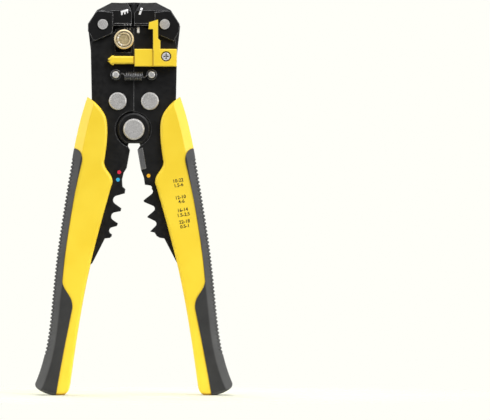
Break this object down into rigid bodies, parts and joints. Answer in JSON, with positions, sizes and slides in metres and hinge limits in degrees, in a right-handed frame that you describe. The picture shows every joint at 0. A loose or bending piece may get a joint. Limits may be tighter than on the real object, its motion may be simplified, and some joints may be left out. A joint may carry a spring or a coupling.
{
  "type": "wire stripper",
  "caption": "Self-adjusting wire stripper with spreading head, gripping and stripping jaws, length stop, crimping levers, side cutter and soft-grip handles.",
  "frame": {"origin": "on the ground under the handle ends, midway between the handles and at the middle of the plate stack", "axes": "+Z towards the stripping head, -Y towards the face with the knob and length stop, +X to the right as seen from that face"},
  "size_m": [0.103, 0.022, 0.2051],
  "materials": {
    "black_steel": "black-finished sheet steel, satin",
    "jaw_steel": "black cast jaw, satin",
    "bright_steel": "bright steel, lightly brushed",
    "blade_steel": "hardened steel, ground",
    "spring_steel": "dark spring wire",
    "nylon": "nylon ring",
    "brass": "worn brass",
    "yellow_plastic": "moulded yellow plastic, semi-gloss",
    "grip_rubber": "soft dark grey grip",
    "cover_plastic": "fine-textured black plastic"
  },
  "bodies": {
    "pivot_group": {"pivot_bolt": "bright_steel", "front_pivot_washer": "black_steel", "rear_pivot_washer": "black_steel", "lock_nut": "bright_steel", "lock_nut_ring": "nylon", "front_return_spring": "spring_steel", "rear_return_spring": "spring_steel"},
    "left_half": {"left_front_plate": "black_steel", "left_core_plate": "black_steel", "left_back_plate": "black_steel", "left_head_rivet": "bright_steel", "left_spring_post": "bright_steel", "left_jaw_pin": "bright_steel", "left_lower_jaw": "jaw_steel", "left_rear_cover": "cover_plastic", "left_cover_screw": "bright_steel", "left_handle_shell": "yellow_plastic", "left_grip": "grip_rubber"},
    "right_half": {"right_front_plate": "black_steel", "right_core_plate": "black_steel", "right_back_plate": "black_steel", "right_head_rivet": "bright_steel", "right_spring_post": "bright_steel", "right_jaw_pin": "bright_steel", "right_lower_jaw": "jaw_steel", "right_rear_cover": "cover_plastic", "right_cover_screw": "bright_steel", "right_handle_shell": "yellow_plastic", "right_grip": "grip_rubber", "cutter_blade": "blade_steel", "lower_stripping_blade": "blade_steel"},
    "left_jaw": {"left_upper_jaw": "jaw_steel", "left_upper_pad": "jaw_steel"},
    "right_jaw": {"right_upper_jaw": "jaw_steel", "right_upper_pad": "jaw_steel", "upper_stripping_blade": "blade_steel"},
    "knob": {"tension_knob": "brass"},
    "stop": {"length_stop": "yellow_plastic"},
    "lock_screw": {"stop_screw": "bright_steel"}
  },
  "joints": [
    {"name": "squeeze", "type": "hinge", "parent": "pivot_group", "child": "left_half", "pos_m": [0, 0, 0.1387], "axis": [0, -1, 0], "range_deg": [0, 10], "deforming": ["front_return_spring", "rear_return_spring"]},
    {"name": "right_squeeze", "type": "hinge", "parent": "pivot_group", "child": "right_half", "pos_m": [0, 0, 0.1387], "axis": [0, 1, 0], "range_deg": [0, 10]},
    {"name": "left_jaw_close", "type": "hinge", "parent": "left_half", "child": "left_jaw", "pos_m": [-0.01615, 0, 0.19345], "axis": [0, 1, 0], "range_deg": [0, 1.8]},
    {"name": "right_jaw_close", "type": "hinge", "parent": "right_half", "child": "right_jaw", "pos_m": [0.01615, 0, 0.19345], "axis": [0, -1, 0], "range_deg": [0, 1.8]},
    {"name": "knob_turn", "type": "hinge", "parent": "left_half", "child": "knob", "pos_m": [-0.00507, 0, 0.1856], "axis": [0, -1, 0], "range_deg": [0, 360]},
    {"name": "stop_slide", "type": "slide", "parent": "right_half", "child": "stop", "axis": [1, 0, 0], "range_m": [-0.002, 0.008]},
    {"name": "lock_screw_turn", "type": "hinge", "parent": "stop", "child": "lock_screw", "pos_m": [0.0169, 0, 0.1766], "axis": [0, -1, 0], "range_deg": [0, 180]}
  ],
  "couplings": [
    {"joint": "right_squeeze", "follows": "squeeze", "ratio": 1},
    {"joint": "left_jaw_close", "follows": "squeeze", "ratio": 0.18},
    {"joint": "right_jaw_close", "follows": "squeeze", "ratio": 0.18}
  ]
}
